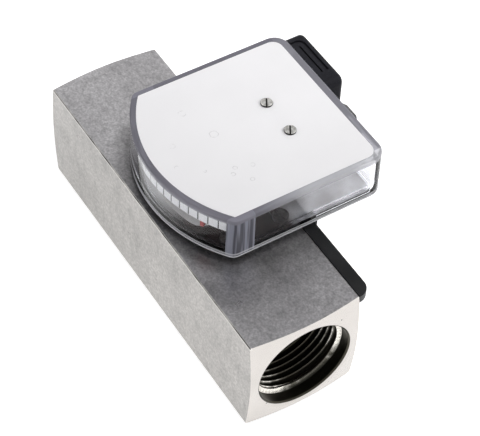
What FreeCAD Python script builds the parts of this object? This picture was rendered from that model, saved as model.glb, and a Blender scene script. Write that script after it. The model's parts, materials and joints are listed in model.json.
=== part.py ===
import FreeCAD, Part
import math
import os

# Variable area flow meter: a square bar body with a spring-loaded metering piston in its bore,
# and a pointer mechanism under a clear hood that follows the piston through the wall by magnets.
# Millimetres. X runs along the flow axis with the inlet at +X, Z is up, and the origin is the
# middle of the body's underside. The piston rests against its inlet stop.

os.makedirs("parts", exist_ok=True)

# Flow body
body_length = 130.0
port_radius = 16.62
port_wall = 3.38
port_depth = 19.0
port_chamfer = 0.53
body_edge_break = 0.4
end_flat_inset = 1.4
end_cone_angle = 11.0
port_relief_length = 2.4
port_step = 2.12
outlet_step = 2.1

# Running and seating clearances
slip_clearance = 0.05
running_clearance = 0.03
moving_clearance = 0.3

# Metering piston, its magnet and its guide
stroke = 29.0
rod_radius = 2.5
piston_core_wall = 1.7
ring_magnet_length = 8.0
ring_magnet_wall = 3.8
piston_shell_wall = 1.0
piston_disc_edge = 0.6
piston_nose_wall = 2.5
piston_nose_length = 5.5
piston_nose_break = 0.6
piston_disc_lead = 2.0
piston_disc_flare = 1.2
piston_cap_length = 4.4
spring_spigot_gap = 0.65
spring_spigot_length = 2.0
cap_edge_break = 0.8

# Spring
spring_inner_gap = 1.15
spring_wire_radius = 0.45
spring_seat_gap = 0.05
spring_turns = 6
spring_chords_per_turn = 16
spring_wire_sides = 6
spring_pressed_length = 11.0

# Metering sleeve, spiders and what holds them in the bore
sleeve_wall_min = 1.1
sleeve_throat_wall = 3.05
spider_length = 6.0
spider_rim = 1.9
spider_hub_wall = 2.7
spider_rib_width = 2.2
spider_rib_count = 3
stop_ring_length = 1.5
clip_thickness = 1.2
clip_depth = 0.8
clip_width = 2.4
clip_gap = 5.0
clip_ear_radius = 1.8
clip_eye_radius = 0.8
clip_ear_sink = 0.6
seal_wire_radius = 0.85
seal_from_end = 6.0

# Housing outline, seen from above
housing_half_width = 32.2
housing_back_y = 50.8
housing_back_corner = 5.6
housing_arc_radius = 49.4
housing_front_corner = 3.5
pivot_y = 31.0
housing_wall = 2.6
hood_draft = 0.2
base_plate_thickness = 2.0
base_lower_chamfer = 0.5
base_plate_inset = 1.5
base_rim_height = 1.6
base_rim_width = 1.2
hood_height = 17.0
hood_roof = 2.0
hood_top_round = 0.6
hood_post_radius = 2.0

# White top plate and its screws
top_plate_thickness = 1.0
top_plate_inset = 2.2
top_plate_back_inset = 2.9
top_plate_corner = 3.6
top_plate_front_corner = 0.4
cover_screw_spacing = 14.1
cover_screw_side = 0.8
cover_screw_shift = 2.1
cover_screw_radius = 1.25
cover_head_radius = 2.05
cover_head_height = 0.7
screw_slot_width = 0.55
screw_slot_depth = 0.4
cover_slot_angle = -30.6

# Screws that hold the base plate on the body
base_screw_side = 7.9
base_screw_front_gap = 5.08
base_screw_back_inset = 5.0
base_screw_radius = 1.5
base_head_radius = 2.7
base_head_height = 1.6
base_screw_depth = 4.2
screw_end_gap = 0.2

# Bridge over the pointer
bridge_end_wall = 3.0
bridge_half_width = 5.4
bridge_thickness = 2.4
pillar_side = 16.4
pillar_radius = 2.4
pivot_radius = 1.0
pivot_boss_radius = 2.6
pivot_boss_height = 1.0
pivot_pin_inset = 0.5

# Pointer
pointer_swing = 50.0
pointer_hub_radius = 3.8
pointer_bush_radius = 2.0
pointer_hub_length = 3.4
pointer_arm_width = 4.0
pointer_arm_thickness = 1.4
follower_flag_gap = 8.1
follower_magnet_radius = 3.0
follower_magnet_length = 4.0
follower_cup_wall = 0.8
follower_floor_gap = 0.8
flag_scale_gap = 0.65
flag_length = 5.0
flag_seat = 1.0
flag_thickness = 1.2
flag_height = 8.0
counterweight_inner = 5.0
counterweight_outer = 12.0
counterweight_angle = 56.0
tail_angle = 28.0
counterweight_thickness = 1.6

# Scale band on the inside of the curved wall
scale_thickness = 0.5
scale_height = 4.2
scale_side_gap = 1.9
scale_top_gap = 0.4

# Set point cam on the pointer's hub
cam_radius = 6.0
cam_lobe_radius = 7.6
cam_lobe_angle = 46.0
cam_thickness = 1.6
cam_floor_gap = 4.0

# Microswitch with its hinged leaf
switch_length = 12.8
switch_depth = 6.2
switch_height = 5.8
switch_board_thickness = 1.2
switch_board_width = 6.4
switch_board_foot = 0.2
switch_arm_gap = 0.4
switch_hole_radius = 0.7
switch_hole_inset = 1.6
switch_pocket_depth = 2.2
switch_cheek_thickness = 0.7
leaf_thickness = 0.35
leaf_length = 12.0
leaf_width = 3.4
leaf_hinge_inset = 0.8
leaf_hinge_radius = 0.4
leaf_pin_radius = 0.2
leaf_gap = 1.5
plunger_radius = 0.8
plunger_offset = 4.6
plunger_press = 0.5
terminal_width = 0.8
terminal_thickness = 0.4
terminal_pitch = 5.0

# Leads from the switch board to the socket
lead_radius = 0.5
lead_pitch = 1.8
lead_drop_pitch = 1.2
lead_count = 3
lead_bend = 1.2
lead_run = 4.3
lead_solder = 1.6
lead_room = 0.4
grommet_wall = 1.6
grommet_lip = 1.0
grommet_flange_height = 0.9
grommet_from_side = 10.4
grommet_shift = 5.0

# Black rail along the body's side
rail_flange_width = 4.5
rail_flange_height = 3.0
rail_web_thickness = 2.5
rail_web_height = 16.0
rail_end_inset = 1.6
rail_plug_margin = 0.5
rail_web_inset = 9.0
rail_end_round = 4.2
rail_screw_drop = 8.5
rail_screw_radius = 1.5
rail_screw_head = 2.8
rail_screw_head_height = 1.4
rail_screw_depth = 6.5
rail_screw_first_gap = 20.2
rail_screw_second_inset = 12.0
clip_claw_width = 4.0
clip_claw_thickness = 1.5
clip_claw_lip = 0.9
clip_claw_grip = 1.2
clip_claw_inset = 3.8
claw_clearance = 0.3

# Socket and plug, a square connector with 27 mm sides
plug_end_gap = 19.0
plug_side = 27.4
plug_top_gap = 0.2
socket_reach = 21.0
socket_rail_gap = 0.3
socket_corner = 1.5
gasket_thickness = 1.4
plug_reach = 27.4
plug_wall = 2.0
plug_corner = 3.0
gasket_corner = 2.0
plug_end_round = 2.0
plug_groove_depth = 0.9
plug_groove_width = 1.0
plug_groove_inset = 3.5
plug_groove_end_inset = 2.3
plug_groove_run = 17.6
plug_groove_corner = 3.0
plug_slot_gap = 1.5
plug_slot_width = 0.7
plug_slot_inset = 3.1
plug_screw_play = 0.2
plug_head_play = 0.3
terminal_room = 8.5
pin_circle = 7.6
pin_width = 5.0
pin_thickness = 0.9
pin_reach = 8.0
pin_root = 8.8
socket_insert_radius = 3.0
socket_insert_length = 4.8
plug_screw_radius = 1.5
plug_screw_head = 3.0
plug_screw_head_height = 2.2
plug_screw_recess = 3.2

# Cable gland
gland_from_end = 10.2
gland_boss_radius = 8.7
gland_boss_length = 3.6
gland_nut_radius = 9.4
gland_nut_length = 9.6
gland_nut_inner = 7.0
gland_nut_mouth = 5.2
gland_nut_flats = 8
gland_seal_radius = 6.7
gland_bore_radius = 3.6
gland_gap = 0.2
gland_nut_roof = 2.0
gland_nut_dome = 2.0
gland_nut_flare = 5.0
gland_seal_gap = 0.1

# Places worked out from the driving sizes
body_width = 2 * (port_radius + port_wall)
end_flat_radius = body_width / 2 - end_flat_inset
port_mouth_radius = port_radius + port_chamfer
bore_radius = port_radius - port_step
outlet_radius = bore_radius - outlet_step
flow_z = body_width / 2
body_top = body_width
end_x = body_length / 2
port_end_x = end_x - port_depth
magnet_x = stroke / 2
ring_magnet_inner = rod_radius + piston_core_wall
ring_magnet_outer = ring_magnet_inner + ring_magnet_wall
piston_shell_radius = ring_magnet_outer + piston_shell_wall
piston_nose_radius = rod_radius + piston_nose_wall
spring_radius = ring_magnet_inner + spring_inner_gap + spring_wire_radius
spring_spigot_radius = spring_radius - spring_wire_radius - spring_spigot_gap
spider_hub_radius = rod_radius + spider_hub_wall
piston_tail_x = magnet_x - ring_magnet_length / 2 - piston_cap_length - slip_clearance
piston_nose_x = magnet_x + ring_magnet_length / 2 + piston_nose_length
stop_x = piston_nose_x + moving_clearance
front_spider_x = stop_x + stop_ring_length
rear_spider_x = piston_tail_x - stroke - spring_pressed_length
shoulder_x = rear_spider_x - spider_length
clip_x = front_spider_x + spider_length
sleeve_radius = bore_radius - slip_clearance
throat_radius = sleeve_radius - sleeve_throat_wall
piston_disc_radius = throat_radius - moving_clearance
wide_radius = sleeve_radius - sleeve_wall_min

base_top = body_top + base_plate_thickness
rim_inset = housing_wall + hood_draft + slip_clearance
hood_top = base_top + hood_height
ceiling_z = hood_top - top_plate_thickness - hood_roof
bridge_z = ceiling_z - bridge_thickness

cam_z = base_top + cam_floor_gap
switch_z = cam_z + cam_thickness / 2 - switch_height / 2
arm_z = switch_z + switch_height + switch_arm_gap
hub_z = arm_z - 0.4
counterweight_z = arm_z + pointer_arm_thickness
rest_angle = pointer_swing / 2
scale_radius = housing_arc_radius - housing_wall - hood_draft - slip_clearance
scale_half_width = housing_half_width - housing_wall - hood_draft - scale_side_gap
scale_half_angle = math.degrees(math.asin(scale_half_width / scale_radius))
hood_post_x = scale_half_width + scale_side_gap
hood_post_y = pivot_y - math.sqrt(scale_radius ** 2 - hood_post_x ** 2)
flag_outer_radius = scale_radius - scale_thickness - flag_scale_gap
follower_radius = flag_outer_radius - flag_length - follower_flag_gap
pillar_x = housing_half_width - pillar_side
base_screw_x = housing_half_width - base_screw_side
base_screw_front_y = pivot_y - math.sqrt(scale_radius ** 2 - base_screw_x ** 2) + base_screw_front_gap
base_screw_back_y = body_width / 2 - base_screw_back_inset

leaf_y = pivot_y + cam_lobe_radius + moving_clearance
switch_y = leaf_y + leaf_thickness + leaf_gap
board_z = base_top + switch_board_foot
lead_spread = (lead_count - 1) / 2 * lead_drop_pitch
grommet_bore_radius = lead_spread * math.sqrt(2) + lead_radius + lead_room
grommet_radius = grommet_bore_radius + grommet_wall
grommet_flange = grommet_radius + grommet_lip
grommet_x = grommet_from_side - housing_half_width
grommet_y = pivot_y + grommet_shift
switch_board_length = 2 * (-grommet_x - grommet_flange - lead_run)
board_back_y = housing_back_y - rim_inset - base_rim_width - slip_clearance
hinge_x = -switch_length / 2 + leaf_hinge_inset

rail_y = body_width / 2
rail_outer_y = rail_y + rail_flange_width
rail_web_y = rail_y + rail_web_thickness
rail_flange_z = body_top - rail_flange_height
rail_web_bottom = body_top - rail_web_height
rail_near_x = end_x - rail_end_inset
rail_web_near_x = end_x - rail_web_inset
rail_screw_z = body_top - rail_screw_drop
clip_claw_x = housing_half_width - clip_claw_inset

plug_far_x = plug_end_gap - end_x
plug_near_x = plug_far_x + plug_side
rail_far_x = plug_far_x - rail_plug_margin
plug_x = plug_far_x + plug_side / 2
plug_top_z = body_top - plug_top_gap
plug_bottom_z = plug_top_z - plug_side
socket_front_y = rail_outer_y + socket_rail_gap
socket_back_y = rail_y + socket_reach
plug_z = (plug_bottom_z + plug_top_z) / 2
plug_face_y = socket_back_y + gasket_thickness
plug_end_y = plug_face_y + plug_reach
gland_y = plug_end_y - gland_from_end
gland_z = plug_z
gland_end_x = plug_near_x + gland_boss_length


def vec(x, y, z):
    return FreeCAD.Vector(x, y, z)


def box(low, high):
    size = [high[i] - low[i] for i in range(3)]
    return Part.makeBox(size[0], size[1], size[2], vec(*low))


def rod_x(radius, x0, x1, y=0.0, z=flow_z):
    return Part.makeCylinder(radius, x1 - x0, vec(x0, y, z), vec(1, 0, 0))


def rod_y(radius, y0, y1, x, z):
    return Part.makeCylinder(radius, y1 - y0, vec(x, y0, z), vec(0, 1, 0))


def rod_z(radius, z0, z1, x=0.0, y=pivot_y):
    return Part.makeCylinder(radius, z1 - z0, vec(x, y, z0), vec(0, 0, 1))


def turned(profile):
    """Solid of revolution about the flow axis from (x, radius) points."""
    points = [vec(x, 0, flow_z + radius) for x, radius in profile]
    face = Part.Face(Part.makePolygon(points + points[:1]))
    return face.revolve(vec(0, 0, flow_z), vec(1, 0, 0), 360)


def about_pivot(shape, degrees):
    """The shape turned about the pointer's pivot, anticlockwise from above."""
    turned_shape = shape.copy()
    turned_shape.rotate(vec(0, pivot_y, 0), vec(0, 0, 1), degrees)
    return turned_shape


def pivot_sector(inner, outer, half_angle, z0, z1, middle=-90.0):
    """Block between two radii about the pivot, centred on the direction given in degrees."""
    start = middle - half_angle
    ring = Part.makeCylinder(outer, z1 - z0, vec(0, pivot_y, z0), vec(0, 0, 1), 2 * half_angle)
    core = Part.makeCylinder(inner, z1 - z0, vec(0, pivot_y, z0), vec(0, 0, 1))
    return about_pivot(ring.cut(core), start)


def rounded_prism(x0, x1, z0, z1, y0, y1, corner):
    """Bar along Y with four rounded long edges."""
    bar = box((x0, y0, z0), (x1, y1, z1))
    long_edges = [edge for edge in bar.Edges if abs(edge.tangentAt(edge.FirstParameter).y) > 0.99]
    return bar.makeFillet(corner, long_edges)


def slotted(head, centre, axis, radius, top, angle=0.0):
    """Screwdriver slot across a round head whose end face lies at top along its axis."""
    reach = radius + 1.0
    half = screw_slot_width / 2
    cutter = Part.makeBox(2 * reach, 2 * half, 2 * screw_slot_depth, vec(-reach, -half, -screw_slot_depth))
    cutter.rotate(vec(0, 0, 0), vec(0, 0, 1), angle)
    cutter.Placement = FreeCAD.Placement(vec(0, 0, 0), FreeCAD.Rotation(vec(0, 0, 1), axis)).multiply(
        cutter.Placement)
    cutter.translate(centre + axis * top)
    return head.cut(cutter)


def housing_outline(half_width, back_y, back_corner, arc_radius, front_corner, z):
    """Closed outline of the housing: straight back and sides, and an arc about the pivot in front."""
    corner_y = pivot_y - math.sqrt((arc_radius - front_corner) ** 2 - (half_width - front_corner) ** 2)
    corner_x = half_width - front_corner
    reach = math.hypot(corner_x, corner_y - pivot_y)
    out_x = corner_x / reach
    out_y = (corner_y - pivot_y) / reach
    touch = (corner_x + front_corner * out_x, corner_y + front_corner * out_y)
    middle_x = out_x + 1.0
    middle = math.hypot(middle_x, out_y)
    bulge = (corner_x + front_corner * middle_x / middle, corner_y + front_corner * out_y / middle)
    turn = back_corner * (1 - math.sqrt(0.5))

    def at(x, y):
        return vec(x, y, z)

    edges = [
        Part.makeLine(at(half_width, corner_y), at(half_width, back_y - back_corner)),
        Part.Arc(at(half_width, back_y - back_corner), at(half_width - turn, back_y - turn),
                 at(half_width - back_corner, back_y)).toShape(),
        Part.makeLine(at(half_width - back_corner, back_y), at(back_corner - half_width, back_y)),
        Part.Arc(at(back_corner - half_width, back_y), at(turn - half_width, back_y - turn),
                 at(-half_width, back_y - back_corner)).toShape(),
        Part.makeLine(at(-half_width, back_y - back_corner), at(-half_width, corner_y)),
        Part.Arc(at(-half_width, corner_y), at(-bulge[0], bulge[1]), at(-touch[0], touch[1])).toShape(),
        Part.Arc(at(-touch[0], touch[1]), at(0, pivot_y - arc_radius), at(touch[0], touch[1])).toShape(),
        Part.Arc(at(touch[0], touch[1]), at(bulge[0], bulge[1]), at(half_width, corner_y)).toShape(),
    ]
    return Part.Wire(edges)


def housing_section(inset, z):
    """Housing outline moved inwards by the inset."""
    return housing_outline(
        housing_half_width - inset,
        housing_back_y - inset,
        max(housing_back_corner - inset, 0.8),
        housing_arc_radius - inset,
        max(housing_front_corner - inset, 0.8),
        z)


def housing_slab(inset, z0, z1, top_inset=None):
    """Slab with the housing's outline, its top inset more where the walls have draft."""
    top = inset if top_inset is None else top_inset
    return Part.makeLoft([housing_section(inset, z0), housing_section(top, z1)], True, True)


def top_plate_slab(inset, z0, z1):
    outline = housing_outline(
        housing_half_width - top_plate_inset - inset,
        housing_back_y - top_plate_back_inset - inset,
        top_plate_corner,
        housing_arc_radius - top_plate_inset - inset,
        top_plate_front_corner,
        z0)
    return Part.Face(outline).extrude(vec(0, 0, z1 - z0))


def cover_screw_places():
    y = pivot_y - cover_screw_shift
    return [(cover_screw_side + side * cover_screw_spacing / 2, y) for side in (-1, 1)]


def base_screw_places():
    return [(side * base_screw_x, y) for side in (-1, 1) for y in (base_screw_front_y, base_screw_back_y)]


def rail_screw_places():
    return [plug_near_x + rail_screw_first_gap, rail_web_near_x - rail_screw_second_inset]


def flow_body():
    """Square bar with coned ends, two ports, the stepped bore and the fixing holes."""
    half = body_width / 2
    bar = box((-end_x, -half, 0), (end_x, half, body_width))
    long_edges = [edge for edge in bar.Edges if edge.Length > body_width + 1]
    bar = bar.makeChamfer(body_edge_break, long_edges)
    corner = half * math.sqrt(2) + 1
    setback = (corner - end_flat_radius) * math.tan(math.radians(end_cone_angle))
    envelope = turned([
        (-end_x, 0), (-end_x, end_flat_radius), (-end_x + setback, corner),
        (end_x - setback, corner), (end_x, end_flat_radius), (end_x, 0)])
    mouth = port_mouth_radius - port_radius
    groove_radius = bore_radius + clip_depth
    bore = turned([
        (-end_x - 1, 0), (-end_x - 1, port_mouth_radius), (-end_x, port_mouth_radius),
        (-end_x + mouth, port_radius), (-port_end_x, port_radius),
        (-port_end_x + port_relief_length, outlet_radius), (shoulder_x, outlet_radius),
        (shoulder_x, bore_radius), (clip_x, bore_radius), (clip_x, groove_radius),
        (clip_x + clip_thickness + slip_clearance, groove_radius),
        (clip_x + clip_thickness + slip_clearance, bore_radius),
        (port_end_x - port_relief_length, bore_radius), (port_end_x, port_radius),
        (end_x - mouth, port_radius), (end_x, port_mouth_radius),
        (end_x + 1, port_mouth_radius), (end_x + 1, 0)])
    body = bar.common(envelope).cut(bore)
    for x, y in base_screw_places():
        body = body.cut(rod_z(base_screw_radius, body_top - base_screw_depth - screw_end_gap, body_top + 1,
                              x, y))
    for x in rail_screw_places():
        body = body.cut(rod_y(rail_screw_radius, half - rail_screw_depth - screw_end_gap, half + 1, x,
                              rail_screw_z))
    return body


def metering_sleeve():
    """Lining with the tapered bore that opens a growing ring round the piston's edge."""
    front = front_spider_x
    rear = rear_spider_x
    throat_x = piston_nose_x - piston_nose_length
    wide_x = throat_x - stroke
    seal_x = front - seal_from_end
    groove = seal_wire_radius + slip_clearance
    return turned([
        (front, throat_radius), (front, sleeve_radius),
        (seal_x + groove, sleeve_radius), (seal_x + groove, sleeve_radius - 2 * groove),
        (seal_x - groove, sleeve_radius - 2 * groove), (seal_x - groove, sleeve_radius),
        (rear, sleeve_radius), (rear, wide_radius), (wide_x, wide_radius), (throat_x, throat_radius)])


def sleeve_seal():
    """Seal ring in the sleeve's groove, with an eight-sided section."""
    middle_x = front_spider_x - seal_from_end
    middle_radius = sleeve_radius - seal_wire_radius
    section = []
    for i in range(8):
        angle = math.pi * (2 * i + 1) / 8
        section.append((middle_x + seal_wire_radius * math.cos(angle),
                        middle_radius + seal_wire_radius * math.sin(angle)))
    return turned(section)


def spider(x0):
    """Rim, hub and ribs that carry one end of the guide rod in the flow."""
    x1 = x0 + spider_length
    rim = rod_x(sleeve_radius, x0, x1).cut(rod_x(sleeve_radius - spider_rim, x0 - 1, x1 + 1))
    whole = rim.fuse(rod_x(spider_hub_radius, x0, x1))
    half = spider_rib_width / 2
    reach = sleeve_radius - spider_rim / 2
    for i in range(spider_rib_count):
        rib = box((x0, -half, flow_z), (x1, half, flow_z + reach))
        rib.rotate(vec(0, 0, flow_z), vec(1, 0, 0), 360.0 * i / spider_rib_count)
        whole = whole.fuse(rib)
    return whole.cut(rod_x(rod_radius, x0 - 1, x1 + 1)).removeSplitter()


def guide_rod():
    return rod_x(rod_radius, shoulder_x, clip_x)


def stop_ring():
    """Soft ring on the inlet spider that the piston's nose rests against."""
    x0 = stop_x
    ring = rod_x(piston_nose_radius, x0, front_spider_x)
    return ring.cut(rod_x(rod_radius + slip_clearance, x0 - 1, front_spider_x + 1))


def retaining_ring():
    """Internal circlip in the groove in front of the inlet spider."""
    outer = bore_radius + clip_depth - slip_clearance
    inner = outer - clip_width
    ring = rod_x(outer, clip_x, clip_x + clip_thickness)
    ring = ring.cut(rod_x(inner, clip_x - 1, clip_x + clip_thickness + 1))
    half = clip_gap / 2
    gap = box((clip_x - 1, -half, flow_z), (clip_x + clip_thickness + 1, half, flow_z + outer + 1))
    ring = ring.cut(gap)
    for side in (-1, 1):
        eye_y = side * (half + clip_ear_radius)
        eye_z = flow_z + inner - clip_ear_sink
        ear = rod_x(clip_ear_radius, clip_x, clip_x + clip_thickness, eye_y, eye_z)
        ring = ring.fuse(ear).cut(rod_x(clip_eye_radius, clip_x - 1, clip_x + clip_thickness + 1, eye_y,
                                        eye_z))
    return ring.removeSplitter()


def piston():
    """Hollow piston with a sharp-edged metering disc and a pocket for the ring magnet."""
    bore = rod_radius + running_clearance
    pocket_front = magnet_x + ring_magnet_length / 2 + slip_clearance
    pocket_rear = magnet_x - ring_magnet_length / 2 - slip_clearance
    core = ring_magnet_inner - slip_clearance
    shell = ring_magnet_outer + slip_clearance
    disc_front = piston_nose_x - piston_nose_length + piston_disc_lead
    return turned([
        (piston_nose_x, bore), (piston_nose_x, piston_nose_radius - piston_nose_break),
        (piston_nose_x - piston_nose_break, piston_nose_radius),
        (disc_front + piston_disc_flare, piston_nose_radius), (disc_front, piston_shell_radius),
        (disc_front, piston_disc_radius),
        (disc_front - piston_disc_edge, piston_disc_radius), (pocket_front, piston_shell_radius),
        (pocket_rear, piston_shell_radius), (pocket_rear, shell), (pocket_front, shell), (pocket_front, core),
        (piston_tail_x, core), (piston_tail_x, bore)])


def ring_magnet():
    x0 = magnet_x - ring_magnet_length / 2
    x1 = magnet_x + ring_magnet_length / 2
    return rod_x(ring_magnet_outer, x0, x1).cut(rod_x(ring_magnet_inner, x0 - 1, x1 + 1))


def magnet_cap():
    """Cap that closes the magnet's pocket and centres the spring."""
    x1 = magnet_x - ring_magnet_length / 2 - slip_clearance
    x0 = piston_tail_x
    return turned([
        (x1, ring_magnet_inner), (x1, piston_shell_radius), (x0 + cap_edge_break, piston_shell_radius),
        (x0, piston_shell_radius - cap_edge_break), (x0, spring_spigot_radius),
        (x0 - spring_spigot_length, spring_spigot_radius - slip_clearance),
        (x0 - spring_spigot_length, ring_magnet_inner)])


def return_spring():
    """Compression spring between the cap and the outlet spider, its coil bent in short chords."""
    height = piston_tail_x - rear_spider_x - 2 * (spring_wire_radius + spring_seat_gap)
    start_x = rear_spider_x + spring_wire_radius + spring_seat_gap
    chords = spring_turns * spring_chords_per_turn
    coil = []
    for i in range(chords + 1):
        angle = 2 * math.pi * i / spring_chords_per_turn
        coil.append(vec(start_x + height * i / chords, spring_radius * math.cos(angle),
                        flow_z + spring_radius * math.sin(angle)))
    section = []
    for i in range(spring_wire_sides + 1):
        angle = 2 * math.pi * i / spring_wire_sides
        section.append(coil[0] + vec(math.sin(angle), math.cos(angle), 0) * spring_wire_radius)
    return Part.makePolygon(coil).makePipeShell([Part.makePolygon(section)], True, True, 1)


def base_plate():
    """Clear floor of the housing, with a rim that centres the hood and holes for screws and leads."""
    edge_z = body_top + base_lower_chamfer
    lower = housing_slab(base_plate_inset + base_lower_chamfer, body_top, edge_z, base_plate_inset)
    plate = lower.fuse(housing_slab(base_plate_inset, edge_z, base_top))
    rim = housing_slab(rim_inset, base_top, base_top + base_rim_height)
    rim = rim.cut(housing_slab(rim_inset + base_rim_width, base_top - 1, base_top + base_rim_height + 1))
    plate = plate.fuse(rim)
    plate = plate.fuse(rod_z(pivot_boss_radius, base_top, base_top + pivot_boss_height))
    plate = plate.cut(rod_z(pivot_radius, body_top + pivot_pin_inset, base_top + pivot_boss_height + 1))
    for x, y in base_screw_places():
        plate = plate.cut(rod_z(base_screw_radius + slip_clearance, body_top - 1, base_top + 1, x, y))
    return plate.cut(rod_z(grommet_radius, body_top - 1, base_top + 1, grommet_x, grommet_y)).removeSplitter()


def hood():
    """Clear hood with drafted walls, solid front corners, a roof and a round upper edge."""
    outer = housing_slab(0.0, base_top, hood_top, hood_draft)
    rim_edges = [edge for edge in outer.Edges if edge.BoundBox.ZMin > hood_top - 0.01]
    outer = outer.makeFillet(hood_top_round, rim_edges)
    cavity = housing_slab(housing_wall, base_top - 0.01, ceiling_z, housing_wall + hood_draft)
    post_z = base_top + base_rim_height + moving_clearance
    for side in (-1, 1):
        cavity = cavity.cut(rod_z(hood_post_radius, post_z, ceiling_z + 1, side * hood_post_x, hood_post_y))
    shell = outer.cut(cavity)
    shell = shell.cut(top_plate_slab(0.0, hood_top - top_plate_thickness, hood_top + 1))
    for x, y in cover_screw_places():
        shell = shell.cut(rod_z(cover_screw_radius + slip_clearance, ceiling_z - 1, hood_top, x, y))
    return shell


def top_plate():
    """White plate let into the hood's roof."""
    plate = top_plate_slab(slip_clearance, hood_top - top_plate_thickness, hood_top)
    for x, y in cover_screw_places():
        plate = plate.cut(rod_z(cover_screw_radius + slip_clearance, ceiling_z, hood_top + 1, x, y))
    return plate


def cover_screws():
    screws = []
    for x, y in cover_screw_places():
        head = rod_z(cover_head_radius, hood_top, hood_top + cover_head_height, x, y)
        head = head.makeChamfer(0.2, [head.Edges[0]])
        head = slotted(head, vec(x, y, hood_top), vec(0, 0, 1), cover_head_radius, cover_head_height,
                       cover_slot_angle)
        shank = rod_z(cover_screw_radius, bridge_z + screw_end_gap, hood_top, x, y)
        screws.append(head.fuse(shank))
    return Part.Compound(screws)


def base_screws():
    screws = []
    for x, y in base_screw_places():
        head = rod_z(base_head_radius, base_top, base_top + base_head_height, x, y)
        head = slotted(head, vec(x, y, base_top), vec(0, 0, 1), base_head_radius, base_head_height)
        shank = rod_z(base_screw_radius - slip_clearance, body_top - base_screw_depth, base_top, x, y)
        screws.append(head.fuse(shank))
    return Part.Compound(screws)


def pointer_bridge():
    """Stadium-shaped bridge that takes the cover screws and the top of the pivot pin."""
    straight = pillar_x + bridge_end_wall - bridge_half_width
    bar = box((-straight, pivot_y - bridge_half_width, bridge_z),
              (straight, pivot_y + bridge_half_width, ceiling_z))
    for side in (-1, 1):
        bar = bar.fuse(rod_z(bridge_half_width, bridge_z, ceiling_z, side * straight))
    bar = bar.removeSplitter()
    for x, y in cover_screw_places():
        bar = bar.cut(rod_z(cover_screw_radius, bridge_z - 1, ceiling_z + 1, x, y))
    return bar.cut(rod_z(pivot_radius, bridge_z - 1, ceiling_z - pivot_pin_inset))


def bridge_pillars():
    return Part.Compound([rod_z(pillar_radius, base_top, bridge_z, side * pillar_x) for side in (-1, 1)])


def pivot_pin():
    return rod_z(pivot_radius, body_top + pivot_pin_inset, ceiling_z - pivot_pin_inset)


def pointer_lever():
    """Hub, arm and magnet cup of the pointer, drawn pointing forwards and turned to its rest angle."""
    hub = rod_z(pointer_hub_radius, hub_z, hub_z + pointer_hub_length)
    half = pointer_arm_width / 2
    arm = box((-half, pivot_y - follower_radius, arm_z), (half, pivot_y, arm_z + pointer_arm_thickness))
    nib_reach = flag_outer_radius - flag_length
    nib = box((-half / 2, pivot_y - nib_reach - flag_seat, arm_z),
              (half / 2, pivot_y - follower_radius, arm_z + pointer_arm_thickness))
    cup_radius = follower_magnet_radius + follower_cup_wall
    cup_bottom = base_top + follower_floor_gap
    cup_y = pivot_y - follower_radius
    cup = rod_z(cup_radius, cup_bottom, arm_z + pointer_arm_thickness, 0.0, cup_y)
    tail = pivot_sector(pivot_radius, counterweight_outer, tail_angle / 2, arm_z,
                        arm_z + pointer_arm_thickness, 90.0)
    lever = hub.fuse(arm).fuse(nib).fuse(cup).fuse(tail)
    lever = lever.cut(rod_z(pointer_bush_radius, hub_z - 1, hub_z + pointer_hub_length + 1))
    lever = lever.cut(rod_z(follower_magnet_radius, cup_bottom - 1, cup_bottom + follower_magnet_length,
                            0.0, cup_y))
    return about_pivot(lever.removeSplitter(), rest_angle)


def pointer_bush():
    """Brass bush in the hub that runs on the pivot pin and carries the cam below the hub."""
    bottom = base_top + pivot_boss_height + moving_clearance
    bush = rod_z(pointer_bush_radius, bottom, bridge_z - moving_clearance)
    return bush.cut(rod_z(pivot_radius + running_clearance, bottom - 1, bridge_z + 1))


def follower_magnet():
    bottom = base_top + follower_floor_gap
    magnet = rod_z(follower_magnet_radius, bottom, bottom + follower_magnet_length, 0.0,
                   pivot_y - follower_radius)
    return about_pivot(magnet, rest_angle)


def pointer_flag():
    """Upright red blade at the pointer's tip, close behind the scale."""
    half = flag_thickness / 2
    inner = flag_outer_radius - flag_length
    low = arm_z + pointer_arm_thickness - flag_height / 2
    blade = box((-half, pivot_y - flag_outer_radius, low), (half, pivot_y - inner, low + flag_height))
    slot = box((-half - 1, pivot_y - inner - flag_seat, arm_z),
               (half + 1, pivot_y - inner + 1, arm_z + pointer_arm_thickness))
    return about_pivot(blade.cut(slot), rest_angle)


def counterweight():
    weight = pivot_sector(counterweight_inner, counterweight_outer, counterweight_angle / 2, counterweight_z,
                          counterweight_z + counterweight_thickness, 90.0)
    return about_pivot(weight, rest_angle)


def setpoint_cam():
    """Friction cam on the bush below the hub, with one raised lobe and a knurl-like grip ring."""
    disc = rod_z(cam_radius, cam_z, cam_z + cam_thickness)
    lobe = pivot_sector(1.0, cam_lobe_radius, cam_lobe_angle / 2, cam_z, cam_z + cam_thickness, 90.0)
    grip = rod_z(pointer_hub_radius, cam_z + cam_thickness, hub_z - slip_clearance)
    cam = disc.fuse(about_pivot(lobe, rest_angle)).fuse(grip)
    return cam.cut(rod_z(pointer_bush_radius + running_clearance, cam_z - 1, hub_z + 1)).removeSplitter()


def scale_band():
    """White band for the graduation, against the inside of the curved wall."""
    top = ceiling_z - scale_top_gap
    return pivot_sector(scale_radius - scale_thickness, scale_radius, scale_half_angle, top - scale_height,
                        top)


def switch_board():
    """Small board that carries the microswitch behind the pivot."""
    half = switch_board_length / 2
    front = board_back_y - switch_board_width
    board = box((-half, front, board_z), (half, board_back_y, board_z + switch_board_thickness))
    inset = switch_board_thickness
    foot = box((inset - half, front + inset, base_top), (half - inset, board_back_y - inset, board_z))
    return board.fuse(foot).removeSplitter()


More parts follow.
